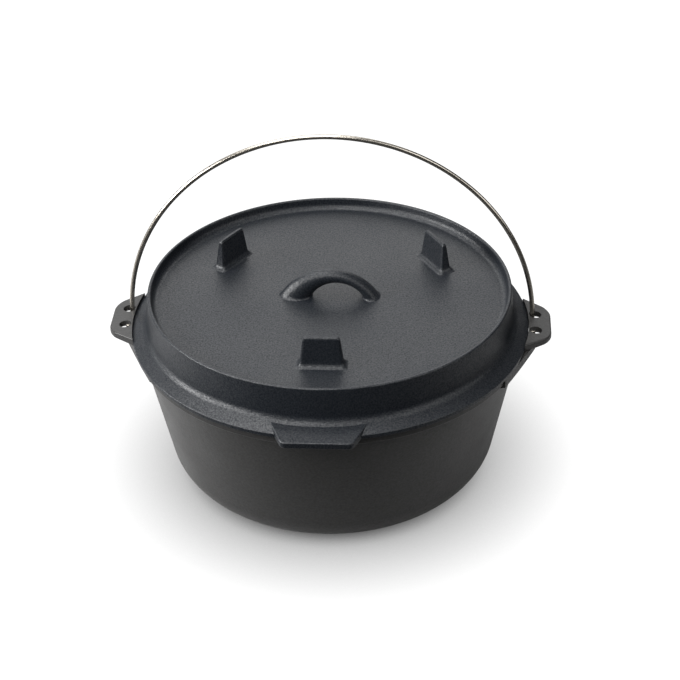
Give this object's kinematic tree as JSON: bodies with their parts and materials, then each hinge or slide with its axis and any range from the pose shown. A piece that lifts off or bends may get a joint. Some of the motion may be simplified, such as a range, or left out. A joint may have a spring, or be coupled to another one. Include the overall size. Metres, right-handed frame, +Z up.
{
  "type": "camp dutch oven",
  "caption": "Flat-based cast-iron camp oven with a flanged, footed lid that turns over into a pan, and a wire bail hooked through ears at the rim.",
  "frame": {"origin": "centre of the pot's flat base, on the ground", "axes": "+Z up along the pot's axis, X through both ears, -Y towards the lid's lifting tab"},
  "size_m": [0.3644, 0.338, 0.3006],
  "materials": {
    "pot_iron": "seasoned, smooth cast",
    "lid_iron": "seasoned, grainy cast",
    "bail_wire": "drawn stainless wire"
  },
  "bodies": {
    "pot": {"pot": "pot_iron"},
    "lid": {"lid": "lid_iron", "lid_handle": "lid_iron"},
    "bail": {"bail": "bail_wire", "bail_hook_right": "bail_wire", "bail_hook_left": "bail_wire"}
  },
  "joints": [
    {"name": "lid_lift", "type": "slide", "parent": "pot", "child": "lid", "axis": [0, 0, 1], "range_m": [0, 0.015]},
    {"name": "bail_swing", "type": "hinge", "parent": "pot", "child": "bail", "pos_m": [0, 0, 0.1315], "axis": [1, 0, 0], "range_deg": [-15, 86]}
  ]
}
